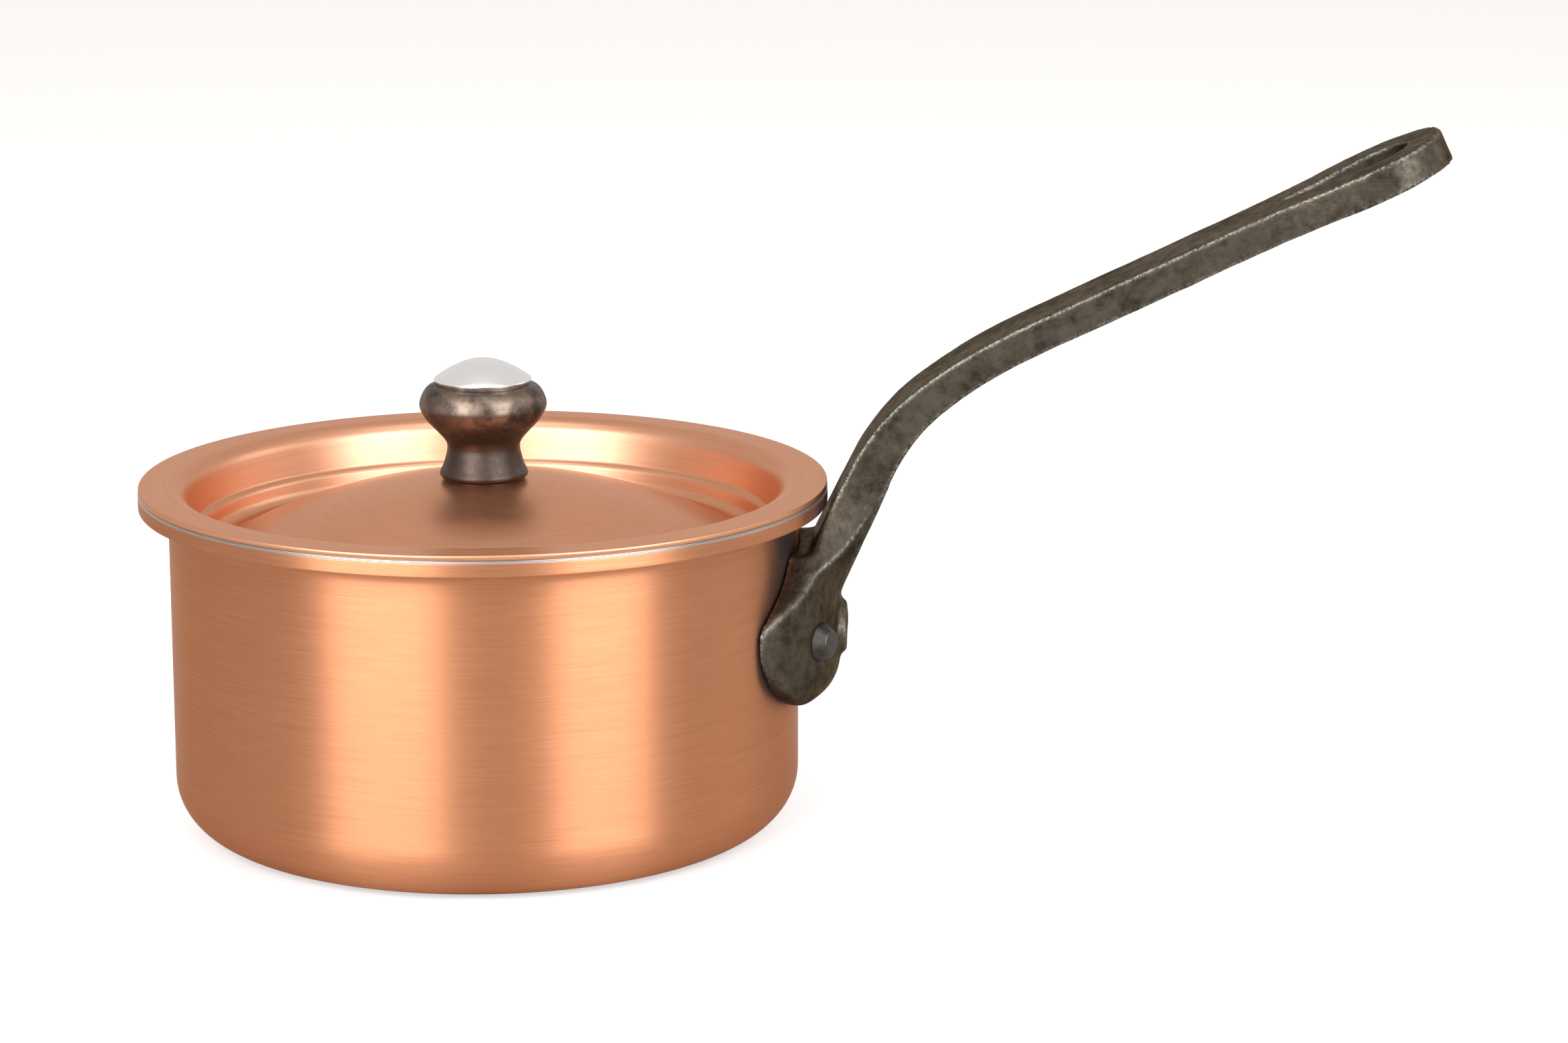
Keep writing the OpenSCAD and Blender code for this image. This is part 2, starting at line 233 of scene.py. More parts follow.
def curve(points, n=10):
    """A smooth curve through a list of points."""
    p = [Vector(q) for q in points]
    out = []
    for i in range(len(p) - 1):
        a, b, c, d = p[max(i - 1, 0)], p[i], p[i + 1], p[min(i + 2, len(p) - 1)]
        for k in range(n):
            t = k / n
            out.append(0.5 * (2 * b + t * (c - a) + t * t * (2 * a - 5 * b + 4 * c - d)
                              + t ** 3 * (3 * b - a - 3 * c + d)))
    out.append(p[-1])
    return [tuple(q) for q in out]


def eased(points, n=6):
    """The outline with each point that carries a radius, as (x, z, radius), made a soft corner."""
    out = []
    for i, point in enumerate(points):
        if len(point) == 2:
            out.append(point)
            continue
        here = Vector(point[:2])
        ends = [here + (Vector(points[j % len(points)][:2]) - here).normalized() * point[2]
                for j in (i - 1, i + 1)]
        for k in range(n + 1):
            t = k / n
            out.append(tuple((1 - t) ** 2 * ends[0] + 2 * t * (1 - t) * here + t * t * ends[1]))
    return out


def spaced(points, gap):
    """The outline with its long straight runs broken up, so that smooth shading stays true."""
    out = [points[0]]
    for q in points[1:]:
        p = out[-1]
        d = math.hypot(q[0] - p[0], q[1] - p[1])
        if d < 1e-7:
            continue
        if d > 2.2 * gap:
            near = gap * 0.25
            n = max(1, math.ceil((d - 2 * near) / gap))
            for t in [near / d] + [(near + (d - 2 * near) * k / n) / d for k in range(1, n + 1)]:
                out.append((p[0] + (q[0] - p[0]) * t, p[1] + (q[1] - p[1]) * t))
        out.append(q)
    return out


def pan_inner(s, grow):
    """Inner face of the pan from its axis out to the rim, grow deeper than the lining's own face."""
    bore = s.rim_r - s.flare - s.wall
    floor_r = s.corner - s.wall
    return ([(0, s.wall - grow)]
            + arc(bore - floor_r, s.wall + floor_r, floor_r + grow, -90, 0)
            + arc(bore + s.lip, s.height - s.lip, s.lip - grow, 180, 90))


def pan_outline(s):
    """Closed outline of the copper, from the axis along its outside and back inside."""
    wall_r = s.rim_r - s.flare
    hollow_z = s.height - s.rim - s.hollow
    inner = pan_inner(s, s.lining)
    return ([(0, 0)] + arc(wall_r - s.corner, s.corner, s.corner, -90, 0)
            + arc(wall_r + s.hollow, hollow_z, s.hollow, 180, 90)
            + arc(s.rim_r - CUT_EDGE, s.height - s.rim + CUT_EDGE, CUT_EDGE, -90, 0, 8)
            + [(s.rim_r, s.height - s.lining)] + inner[::-1])


def lining_outline(s):
    outer, inner = pan_inner(s, s.lining), pan_inner(s, 0)
    return outer + [(s.rim_r, s.height - s.lining), (s.rim_r, s.height)] + inner[::-1]


def lid_path(s):
    return walk(s.edge_r, s.top, math.pi, [
        (s.flat, 0), (s.shoulder, s.wall_slope), (s.wall, 0), (s.bead_in, -s.bead),
        (s.bead_out, s.bead), (s.step, 0), (s.channel, -(s.wall_slope + s.dome_slope))])


def lid_dome(s):
    """Radius of the dome and height of its centre."""
    x, z, _ = lid_path(s)[-1]
    r = x / math.sin(s.dome_slope)
    return r, z - r * math.cos(s.dome_slope)


def lid_face(s, drop):
    r, cz = lid_dome(s)
    slope = math.degrees(s.dome_slope)
    return beside(lid_path(s), drop) + arc(0, cz, r - drop, 90 - slope, 90, 48)[1:]


def lid_outline(s, near, far):
    """Closed outline of a layer of the lid between two depths."""
    top, under = lid_face(s, near), lid_face(s, far)
    if near == 0:
        top = arc(s.edge_r - LID_EDGE, s.top - LID_EDGE, LID_EDGE, 0, 90, 8) + top[1:]
    return under[::-1] + top


def knob_outline(s, dome_r, dome_cz):
    """Outline of the knob, from its foot on the dome up to the middle of its cap. It is drawn in mm
    from the top of the dome, and stretched in height to the knob's own."""
    top = high("lid_knob")
    k = (top - dome_r - dome_cz) / KNOB_TALL
    foot, waist, cap = s.foot / 2 / MM, s.waist / 2 / MM, s.cap / 2 / MM
    belly = reach("lid_knob") / MM
    body = curve([(foot - 0.8, 0.1), (foot, 1.3), (foot - 0.9, 3.4), (waist, 6.9), (waist + 0.4, 9),
                  (waist + 2.6, 11.6), (belly - 1.2, 14.3), (belly, 17), (belly - 0.5, 19.4),
                  (belly - 1.9, 21.4), (cap - 0.6, 22.2)])
    crown = curve([(cap - 0.3, 22.4), (cap, 22.9), (cap - 0.2, 23.5), (cap - 2.9, 25.3),
                   (cap - 5.4, 26.6), (cap - 7.8, 27.5), (0.02, KNOB_TALL)])
    foot_x = (foot - 0.8) * MM
    foot_z = dome_cz + math.sqrt(dome_r ** 2 - foot_x ** 2)
    apex = dome_cz + dome_r
    under = [(foot_x * t, dome_cz + math.sqrt(dome_r ** 2 - (foot_x * t) ** 2))
             for t in (0, 0.2, 0.4, 0.6, 0.8, 1)]
    side = [(x * MM, apex + z * k) for x, z in body + crown]
    return under + [(foot_x, (foot_z + side[0][1]) / 2)] + side[:-1] + [(0, top)]


# ---------------------------------------------------------------- building

def add(tree, kind, inputs=None, **settings):
    """Adds a node, sets it up, and gives its inputs values or links."""
    node = tree.nodes.new(kind)
    for name, value in settings.items():
        setattr(node, name, value)
    for name, value in (inputs or {}).items():
        socket = node.inputs[name]
        if isinstance(value, bpy.types.NodeSocket):
            tree.links.new(value, socket)
        else:
            socket.default_value = value
    return node


def tree_of(name, *inputs):
    """A new Geometry Nodes tree with a geometry input and output and the named inputs."""
    tree = bpy.data.node_groups.new(name, "GeometryNodeTree")
    tree.interface.new_socket("Geometry", in_out="INPUT", socket_type="NodeSocketGeometry")
    tree.interface.new_socket("Geometry", in_out="OUTPUT", socket_type="NodeSocketGeometry")
    for label, kind in inputs:
        tree.interface.new_socket(label, in_out="INPUT", socket_type=kind)
    return tree, tree.nodes.new("NodeGroupInput").outputs


def turning_tree():
    """Turns an outline drawn in X and Z about Z, as a spinner turns a blank on a lathe."""
    tree, given = tree_of("Turned shell", ("Sides", "NodeSocketInt"), ("Material", "NodeSocketMaterial"))
    points = add(tree, "GeometryNodeAttributeDomainSize", {"Geometry": given["Geometry"]})
    across = add(tree, "ShaderNodeMath", {0: given["Sides"], 1: 1.0}, operation="ADD")
    grid = add(tree, "GeometryNodeMeshGrid", {"Size X": 1.0, "Size Y": 1.0,
                                              "Vertices X": across.outputs[0],
                                              "Vertices Y": points.outputs["Point Count"]})
    index = add(tree, "GeometryNodeInputIndex")
    row = add(tree, "ShaderNodeMath", {0: index.outputs[0], 1: points.outputs["Point Count"]},
              operation="MODULO")
    part = add(tree, "ShaderNodeMath", {0: index.outputs[0], 1: points.outputs["Point Count"]},
               operation="DIVIDE")
    side = add(tree, "ShaderNodeMath", {0: part.outputs[0]}, operation="FLOOR")
    share = add(tree, "ShaderNodeMath", {0: side.outputs[0], 1: given["Sides"]}, operation="DIVIDE")
    turn = add(tree, "ShaderNodeMath", {0: share.outputs[0], 1: TAU}, operation="MULTIPLY")
    position = add(tree, "GeometryNodeInputPosition")
    outline = add(tree, "GeometryNodeSampleIndex", {"Geometry": given["Geometry"],
                                                    "Value": position.outputs[0],
                                                    "Index": row.outputs[0]},
                  data_type="FLOAT_VECTOR", domain="POINT")
    turned = add(tree, "ShaderNodeVectorRotate", {"Vector": outline.outputs["Value"],
                                                  "Angle": turn.outputs[0]}, rotation_type="Z_AXIS")
    placed = add(tree, "GeometryNodeSetPosition", {"Geometry": grid.outputs["Mesh"],
                                                   "Position": turned.outputs[0]})
    along = add(tree, "GeometryNodeInputNamedAttribute", {"Name": "along"}, data_type="FLOAT")
    reached = add(tree, "GeometryNodeSampleIndex", {"Geometry": given["Geometry"],
                                                    "Value": along.outputs["Attribute"],
                                                    "Index": row.outputs[0]},
                  data_type="FLOAT", domain="POINT")
    kept = add(tree, "GeometryNodeStoreNamedAttribute", {"Geometry": placed.outputs[0], "Name": "along",
                                                         "Value": reached.outputs["Value"]},
               data_type="FLOAT", domain="POINT")
    merged = add(tree, "GeometryNodeMergeByDistance", {"Geometry": kept.outputs[0], "Distance": 1e-6})
    smooth = add(tree, "GeometryNodeSetShadeSmooth", {"Geometry": merged.outputs[0]})
    real = add(tree, "GeometryNodeRealizeInstances", {"Geometry": smooth.outputs[0]})
    dressed = add(tree, "GeometryNodeSetMaterial", {"Geometry": real.outputs[0],
                                                    "Material": given["Material"]})
    add(tree, "NodeGroupOutput", {"Geometry": dressed.outputs[0]})
    return tree


def seats_tree():
    """Sets a rivet on each seat, with its length along the seat's own direction."""
    tree, given = tree_of("Seated rivets", ("Rivet", "NodeSocketObject"),
                          ("Material", "NodeSocketMaterial"))
    rivet = add(tree, "GeometryNodeObjectInfo", {"Object": given["Rivet"]}, transform_space="ORIGINAL")
    facing = add(tree, "GeometryNodeInputNamedAttribute", {"Name": "facing"}, data_type="FLOAT_VECTOR")
    turned = add(tree, "FunctionNodeAlignRotationToVector", {"Vector": facing.outputs["Attribute"]},
                 axis="Z")
    placed = add(tree, "GeometryNodeInstanceOnPoints", {"Points": given["Geometry"],
                                                        "Instance": rivet.outputs["Geometry"],
                                                        "Rotation": turned.outputs[0]})
    real = add(tree, "GeometryNodeRealizeInstances", {"Geometry": placed.outputs[0]})
    dressed = add(tree, "GeometryNodeSetMaterial", {"Geometry": real.outputs[0],
                                                    "Material": given["Material"]})
    add(tree, "NodeGroupOutput", {"Geometry": dressed.outputs[0]})
    return tree


def show(name, mesh):
    """A new object that holds a mesh, in the scene."""
    piece = bpy.data.objects.new(name, mesh)
    bpy.context.scene.collection.objects.link(piece)
    return piece


def grown(name, mesh, tree, **inputs):
    """Runs a Geometry Nodes tree on a mesh and returns its result as a plain object."""
    seed = show(name + "_seed", mesh)
    modifier = seed.modifiers.new(tree.name, "NODES")
    modifier.node_group = tree
    for item in tree.interface.items_tree:
        if item.in_out == "INPUT" and item.name in inputs:
            modifier[item.identifier] = inputs[item.name]
    plain = bpy.data.meshes.new_from_object(seed.evaluated_get(bpy.context.evaluated_depsgraph_get()))
    seed.modifiers.remove(modifier)
    bpy.data.objects.remove(seed)
    plain.name = name
    return show(name, plain)


def outline_mesh(name, points):
    """An outline in X and Z as a string of edges, each point knowing how far along it lies."""
    mesh = bpy.data.meshes.new(name)
    mesh.from_pydata([(x, 0, z) for x, z in points], [(i, i + 1) for i in range(len(points) - 1)], [])
    far = [0.0]
    for a, b in zip(points, points[1:]):
        far.append(far[-1] + math.hypot(b[0] - a[0], b[1] - a[1]))
    mesh.attributes.new("along", "FLOAT", "POINT").data.foreach_set("value", far)
    return mesh


def turned(name, points, sides, material, gap=1.2 * MM):
    """A turned piece from its outline, with its faces pointing outwards."""
    piece = grown(name, outline_mesh(name, spaced(points, gap)), turning_tree(), Sides=sides,
                  Material=material)
    shape = bmesh.new()
    shape.from_mesh(piece.data)
    bmesh.ops.dissolve_degenerate(shape, dist=1e-8, edges=shape.edges)
    if shape.calc_volume(signed=True) < 0:
        bmesh.ops.reverse_faces(shape, faces=shape.faces)
    shape.to_mesh(piece.data)
    shape.free()
    return piece


def settle(piece, body, slot, *nodes):
    """Hands a finished piece to the frame."""
    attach(piece, body)
    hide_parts(*nodes)


# ---------------------------------------------------------------- materials

def shader(name):
    """A new material with its Principled shader, its tree and its Object coordinates."""
    material = bpy.data.materials.new(name)
    material.use_nodes = True
    tree = material.node_tree
    skin = next(n for n in tree.nodes if n.type == "BSDF_PRINCIPLED")
    where = add(tree, "ShaderNodeTexCoord").outputs["Object"]
    return material, tree, skin, where


def link(tree, source, node, name):
    tree.links.new(source, node.inputs[name])


def copper_brushed(name, light, deep, rough, grain_mm, stretch, bite, anisotropy, lacquer, haze):
    """Copper sheet spun and then brushed on the lathe. The brush leaves lines round the piece, so that
    light spreads across them and fine light and dark streaks follow the turning. A brush leaves lines
    about a tenth of a millimetre wide; they are drawn coarser, at grain_mm, so that they show."""
    material, tree, skin, where = shader(name)
    flat = add(tree, "ShaderNodeVectorMath", {0: where, 1: (1, 1, 0)}, operation="MULTIPLY")
    round_ = add(tree, "ShaderNodeVectorMath", {0: flat.outputs[0]}, operation="NORMALIZE")
    along = add(tree, "ShaderNodeAttribute", attribute_name="along")
    lines = []
    cloud_mm = 9
    for mm, turn, lift in ((grain_mm, stretch, 0), (grain_mm * 3.1, stretch * 0.6, 7),
                           (cloud_mm, 1.6, 19)):
        ring = add(tree, "ShaderNodeVectorMath", {0: round_.outputs[0], 1: (turn, turn, 0)},
                   operation="MULTIPLY")
        high_ = add(tree, "ShaderNodeMath", {0: along.outputs["Fac"], 1: 1 / (mm * MM), 2: lift},
                    operation="MULTIPLY_ADD")
        rise = add(tree, "ShaderNodeCombineXYZ", {"Z": high_.outputs[0]})
        spot = add(tree, "ShaderNodeVectorMath", {0: ring.outputs[0], 1: rise.outputs[0]},
                   operation="ADD")
        lines.append(add(tree, "ShaderNodeTexNoise", {"Vector": spot.outputs[0], "Scale": 1.0,
                                                      "Detail": 3.0, "Roughness": 0.6}).outputs["Fac"])
    fine, broad, cloud = lines
    both = add(tree, "ShaderNodeMath", {0: broad, 1: 0.4, 2: fine}, operation="MULTIPLY_ADD")
    streak = add(tree, "ShaderNodeMapRange", {"Value": both.outputs[0], "From Min": 0.45,
                                              "From Max": 0.95})
    tone = add(tree, "ShaderNodeMix", {"Factor": streak.outputs[0], "A": (*deep, 1), "B": (*light, 1)},
               data_type="RGBA")
    link(tree, tone.outputs["Result"], skin, "Base Color")
    gloss = add(tree, "ShaderNodeMapRange", {"Value": cloud, "From Min": 0.3, "From Max": 0.7,
                                             "To Min": rough - 0.025, "To Max": rough + 0.025})
    link(tree, gloss.outputs[0], skin, "Roughness")
    bump = add(tree, "ShaderNodeBump", {"Height": both.outputs[0], "Strength": bite,
                                        "Distance": 0.02 * MM})
    link(tree, bump.outputs[0], skin, "Normal")
    if anisotropy:
        turn = add(tree, "ShaderNodeTangent", direction_type="RADIAL", axis="Z")
        link(tree, turn.outputs[0], skin, "Tangent")
        skin.inputs["Anisotropic"].default_value = anisotropy
        skin.inputs["Anisotropic Rotation"].default_value = 0.25
    skin.inputs["Metallic"].default_value = 1.0
    skin.inputs["Specular Tint"].default_value = (0.95, 0.68, 0.52, 1)
    skin.inputs["Coat Weight"].default_value = lacquer
    skin.inputs["Coat Roughness"].default_value = 0.25
    if haze:
        veil = add(tree, "ShaderNodeBsdfAnisotropic", {"Color": (1, 1, 1, 1), "Roughness": rough,
                                                       "Anisotropy": anisotropy, "Rotation": 0.25,
                                                       "Normal": bump.outputs[0]})
        if anisotropy:
            link(tree, turn.outputs[0], veil, "Tangent")
        out = next(n for n in tree.nodes if n.type == "OUTPUT_MATERIAL")
        skins = add(tree, "ShaderNodeMixShader", {0: haze, 1: skin.outputs[0], 2: veil.outputs[0]})
        link(tree, skins.outputs[0], out, "Surface")
    return material


def stainless_satin(name, tint):
    """Stainless sheet rolled onto the copper and brushed round: a calm satin grey. Its brush lines are
    drawn half a millimetre wide, coarser than real ones, so that they show."""
    material, tree, skin, where = shader(name)
    along = add(tree, "ShaderNodeAttribute", attribute_name="along")
    high_ = add(tree, "ShaderNodeMath", {0: along.outputs["Fac"], 1: 1 / (0.5 * MM)},
                operation="MULTIPLY")
    ring = add(tree, "ShaderNodeVectorMath", {0: where, 1: (60, 60, 0)}, operation="MULTIPLY")
    rise = add(tree, "ShaderNodeCombineXYZ", {"Z": high_.outputs[0]})
    spot = add(tree, "ShaderNodeVectorMath", {0: ring.outputs[0], 1: rise.outputs[0]}, operation="ADD")
    grain = add(tree, "ShaderNodeTexNoise", {"Vector": spot.outputs[0], "Scale": 1.0, "Detail": 2.0})
    skin.inputs["Base Color"].default_value = (*tint, 1)
    skin.inputs["Metallic"].default_value = 1.0
    gloss = add(tree, "ShaderNodeMapRange", {"Value": grain.outputs["Fac"], "To Min": 0.24,
                                             "To Max": 0.36})
    link(tree, gloss.outputs[0], skin, "Roughness")
    bump = add(tree, "ShaderNodeBump", {"Height": grain.outputs["Fac"], "Strength": 0.1,
                                        "Distance": 0.02 * MM})
    link(tree, bump.outputs[0], skin, "Normal")
    return material


def iron_cast(name, plain, dark, edge):
    """Sand cast iron, ground on its faces, waxed and buffed: near black in the pits, grey where hands
    polish it, with a sandy grain that breaks up every reflection. The sand of the mould is about 0.3 mm
    and is drawn at 0.7 mm, so that it shows."""
    material, tree, skin, where = shader(name)
    sand = add(tree, "ShaderNodeTexNoise", {"Vector": where, "Scale": 1 / (0.7 * MM), "Detail": 3.0,
                                            "Roughness": 0.65})
    pits = add(tree, "ShaderNodeTexNoise", {"Vector": where, "Scale": 1 / (2.4 * MM), "Detail": 3.0,
                                            "Roughness": 0.6})
    stain = add(tree, "ShaderNodeTexNoise", {"Vector": where, "Scale": 1 / (14 * MM), "Detail": 4.0,
                                             "Roughness": 0.6})
    edges = add(tree, "ShaderNodeAttribute", attribute_name="worn")
    blend = add(tree, "ShaderNodeMath", {0: pits.outputs["Fac"], 1: stain.outputs["Fac"]},
                operation="ADD")
    share = add(tree, "ShaderNodeMapRange", {"Value": blend.outputs[0], "From Min": 0.75,
                                             "From Max": 1.2})
    body = add(tree, "ShaderNodeMix", {"Factor": share.outputs[0], "A": (*dark, 1), "B": (*plain, 1)},
               data_type="RGBA")
    grit = add(tree, "ShaderNodeMapRange", {"Value": sand.outputs["Fac"], "From Min": 0.4,
                                            "From Max": 0.62})
    wear = add(tree, "ShaderNodeMath", {0: grit.outputs[0], 1: edges.outputs["Fac"]},
               operation="MULTIPLY")
    tone = add(tree, "ShaderNodeMix", {"Factor": wear.outputs[0], "A": body.outputs["Result"],
                                       "B": (*edge, 1)}, data_type="RGBA")
    link(tree, tone.outputs["Result"], skin, "Base Color")
    gloss = add(tree, "ShaderNodeMapRange", {"Value": blend.outputs[0], "From Min": 0.75,
                                             "From Max": 1.25, "To Min": 0.5, "To Max": 0.34})
    link(tree, gloss.outputs[0], skin, "Roughness")
    height = add(tree, "ShaderNodeMath", {0: pits.outputs["Fac"], 1: 1.6, 2: sand.outputs["Fac"]},
                 operation="MULTIPLY_ADD")
    bump = add(tree, "ShaderNodeBump", {"Height": height.outputs[0], "Strength": 0.55,
                                        "Distance": 0.12 * MM})
    link(tree, bump.outputs[0], skin, "Normal")
    skin.inputs["Metallic"].default_value = 0.9
    skin.inputs["Specular Tint"].default_value = (0.55, 0.47, 0.38, 1)
    return material


def iron_turned(name, plain, dark, polish, cap_z, waist_z):
    """Iron turned on a lathe and waxed: brown grey and soft below, with painted shade darkening it under
    the belly, and a cap buffed nearly bright.
    """
    material, tree, skin, where = shader(name)
    stain = add(tree, "ShaderNodeTexNoise", {"Vector": where, "Scale": 1 / (5 * MM), "Detail": 5.0,
                                             "Roughness": 0.62})
    pits = add(tree, "ShaderNodeTexNoise", {"Vector": where, "Scale": 1 / (0.8 * MM), "Detail": 3.0})
    share = add(tree, "ShaderNodeMapRange", {"Value": stain.outputs["Fac"], "From Min": 0.38,
                                             "From Max": 0.62})
    place = add(tree, "ShaderNodeSeparateXYZ", {0: where})
    # Painted shade: below the waist the iron is pulled towards its dark colour, fading out over 6 mm up
    # the belly.
    painted_shade_below_belly = add(tree, "ShaderNodeMapRange", {"Value": place.outputs["Z"], "From Min": waist_z,
                                              "From Max": waist_z + 6 * MM, "To Min": 0.15})
    kept = add(tree, "ShaderNodeMath", {0: share.outputs[0], 1: painted_shade_below_belly.outputs[0]}, operation="MULTIPLY")
    body = add(tree, "ShaderNodeMix", {"Factor": kept.outputs[0], "A": (*dark, 1), "B": (*plain, 1)},
               data_type="RGBA")
    cap = add(tree, "ShaderNodeMapRange", {"Value": place.outputs["Z"], "From Min": cap_z - 0.1 * MM,
                                           "From Max": cap_z + 0.15 * MM})
    tone = add(tree, "ShaderNodeMix", {"Factor": cap.outputs[0], "A": body.outputs["Result"],
                                       "B": (*polish, 1)}, data_type="RGBA")
    link(tree, tone.outputs["Result"], skin, "Base Color")
    worn = add(tree, "ShaderNodeMapRange", {"Value": stain.outputs["Fac"], "From Min": 0.35,
                                            "From Max": 0.65, "To Min": 0.52, "To Max": 0.4})
    gloss = add(tree, "ShaderNodeMix", {"Factor": cap.outputs[0], "A": worn.outputs[0], "B": 0.2},
                data_type="FLOAT")
    link(tree, gloss.outputs["Result"], skin, "Roughness")
    bump = add(tree, "ShaderNodeBump", {"Height": pits.outputs["Fac"], "Strength": 0.3,
                                        "Distance": 0.06 * MM})
    link(tree, bump.outputs[0], skin, "Normal")
    skin.inputs["Metallic"].default_value = 1.0
    return material


def steel_dull(name, tint, rough):
    """Steel that has been hammered closed and left to dull: soft grey with a faint mottle."""
    material, tree, skin, where = shader(name)
    mottle = add(tree, "ShaderNodeTexNoise", {"Vector": where, "Scale": 1 / (1.5 * MM), "Detail": 3.0})
    share = add(tree, "ShaderNodeMapRange", {"Value": mottle.outputs["Fac"], "From Min": 0.35,
                                             "From Max": 0.65})
    shade = tuple(c * 0.72 for c in tint)
    tone = add(tree, "ShaderNodeMix", {"Factor": share.outputs[0], "A": (*shade, 1), "B": (*tint, 1)},
               data_type="RGBA")
    link(tree, tone.outputs["Result"], skin, "Base Color")
    gloss = add(tree, "ShaderNodeMapRange", {"Value": mottle.outputs["Fac"], "To Min": rough - 0.08,
                                             "To Max": rough + 0.08})
    link(tree, gloss.outputs[0], skin, "Roughness")
    bump = add(tree, "ShaderNodeBump", {"Height": mottle.outputs["Fac"], "Strength": 0.3,
                                        "Distance": 0.08 * MM})
    link(tree, bump.outputs[0], skin, "Normal")
    skin.inputs["Metallic"].default_value = 1.0
    return material


def floor_paint(name, tint, lift):
    """Matt studio board. What is seen of it directly is lifted towards white."""
    material, tree, skin, _ = shader(name)
    skin.inputs["Base Color"].default_value = (*tint, 1)
    skin.inputs["Roughness"].default_value = 0.9
    skin.inputs["Specular IOR Level"].default_value = 0.1
    skin.inputs["Emission Color"].default_value = (1, 1, 1, 1)
    straight = add(tree, "ShaderNodeLightPath").outputs["Is Camera Ray"]
    seen = add(tree, "ShaderNodeMath", {0: straight, 1: lift}, operation="MULTIPLY")
    link(tree, seen.outputs[0], skin, "Emission Strength")
    return material


# ---------------------------------------------------------------- pieces

class SAUCEPAN_OT_pan(bpy.types.Operator):
    """Spin the copper pan and its stainless lining"""
    bl_idname = "saucepan.pan"
    bl_label = "Pan"

    def execute(self, context):
        s = context.scene.saucepan_pan
        copper = copper_brushed("copper_brushed_pan", s.copper, s.copper_deep, rough=0.4,
                                grain_mm=0.28, stretch=5, bite=0.2, anisotropy=0.88, lacquer=0,
                                haze=0.03)
        body = turned("pan_copper", pan_outline(s), s.sides, copper)
        settle(body, "pan", "copper_pan", "pan_body")
        steel = stainless_satin("stainless_satin", s.steel)
        lining = turned("pan_steel_lining", lining_outline(s), s.sides, steel)
        settle(lining, "pan", "steel_lining", "pan_lining")
        return {"FINISHED"}


class SAUCEPAN_OT_lid(bpy.types.Operator):
    """Spin the copper lid and its stainless lining"""
    bl_idname = "saucepan.lid"
    bl_label = "Lid"

    def execute(self, context):
        s, pan = context.scene.saucepan_lid, context.scene.saucepan_pan
        copper = copper_brushed("copper_satin_lid", s.copper, s.copper_deep, rough=0.38,
                                grain_mm=0.5, stretch=4, bite=0.06, anisotropy=0, lacquer=0.3,
                                haze=0)
        skin = s.thick - pan.lining
        shell = turned("lid_copper", lid_outline(s, 0, skin), pan.sides, copper)
        settle(shell, "lid", "copper_lid", "lid_shell")
        lining = turned("lid_steel_lining", lid_outline(s, skin, s.thick), pan.sides,
                        bpy.data.materials["stainless_satin"])
        settle(lining, "lid", "steel_lining", "lid_lining")
        return {"FINISHED"}


class SAUCEPAN_OT_knob(bpy.types.Operator):
    """Turn the iron knob, and finish the washer and rivet that hold it"""
    bl_idname = "saucepan.knob"
    bl_label = "Knob"

    def execute(self, context):
        s, lid = context.scene.saucepan_knob, context.scene.saucepan_lid
        rivets = context.scene.saucepan_rivets
        dome_r, dome_cz = lid_dome(lid)
        top = high("lid_knob")
        cap_z = dome_r + dome_cz + (top - dome_r - dome_cz) * KNOB_CAP_FOOT / KNOB_TALL
        iron = iron_turned("cast_iron_turned", s.iron, s.iron_dark, s.polish, cap_z,
                           waist_z=cap_z - 12 * MM)
        knob = turned("knob_iron", knob_outline(s, dome_r, dome_cz), KNOB_SIDES, iron, gap=0.6 * MM)
        settle(knob, "lid", "cast_iron_knob", "lid_knob")
        steel = steel_dull("steel_plated", rivets.washer, rough=0.3)
        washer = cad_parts["knob_washer"].data
        washer.materials.clear()
        washer.materials.append(steel)
        z0, z1 = low("knob_rivet"), high("knob_rivet")
        head_r = reach("knob_rivet")
        head = low("knob_washer") - z0
        steps = 14
        quarter = [math.pi / 2 * i / steps for i in range(steps + 1)]
        button = [(head_r * math.sin(a), z0 + head * (1 - math.cos(a))) for a in quarter]
        shank = rivets.shank / 2
        rivet = turned("knob_rivet_steel", button + [(shank, z0 + head), (shank, z1), (0, z1)],
                       RIVET_SIDES, steel, gap=0.8 * MM)
        settle(rivet, "lid", "steel_rivet", "knob_rivet")
        return {"FINISHED"}


class SAUCEPAN_OT_handle(bpy.types.Operator):
    """Cast the iron handle with soft edges and the uneven faces of a casting"""
    bl_idname = "saucepan.handle"
    bl_label = "Handle"

    def execute(self, context):
        s = context.scene.saucepan_handle
        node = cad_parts["handle"]
        shape = bmesh.new()
        shape.from_mesh(node.data)
        bmesh.ops.remove_doubles(shape, verts=shape.verts, dist=1e-6)
        mesh = bpy.data.meshes.new("handle_seed")
        shape.to_mesh(mesh)
        shape.free()
        seed = show("handle_seed", mesh)
        remesh = seed.modifiers.new("Rebuild", "REMESH")
        remesh.mode = "VOXEL"
        remesh.voxel_size = s.voxel
        remesh.use_smooth_shade = True
        soften = seed.modifiers.new("Soften", "SMOOTH")
        soften.factor = 0.5
        soften.iterations = s.rounding
        cast = pillowed(plain_mesh(seed), s.pillow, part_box("rivet_left"))
        cast.name = "handle_iron"
        weather(cast, s.waver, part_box("handle"))
        piece = show("handle_iron", cast)
        cast.materials.clear()
        cast.materials.append(iron_cast("cast_iron_waxed", s.iron, s.iron_dark, s.edge))
        settle(piece, "pan", "cast_iron_handle", "handle")
        return {"FINISHED"}


def clamped(value):
    """The value, kept between 0 and 1."""
    return min(max(value, 0), 1)


def plain_mesh(piece):
    """The mesh that a piece's modifiers make, with the piece itself removed."""
    mesh = bpy.data.meshes.new_from_object(piece.evaluated_get(bpy.context.evaluated_depsgraph_get()))
    bpy.data.objects.remove(piece)
    return mesh


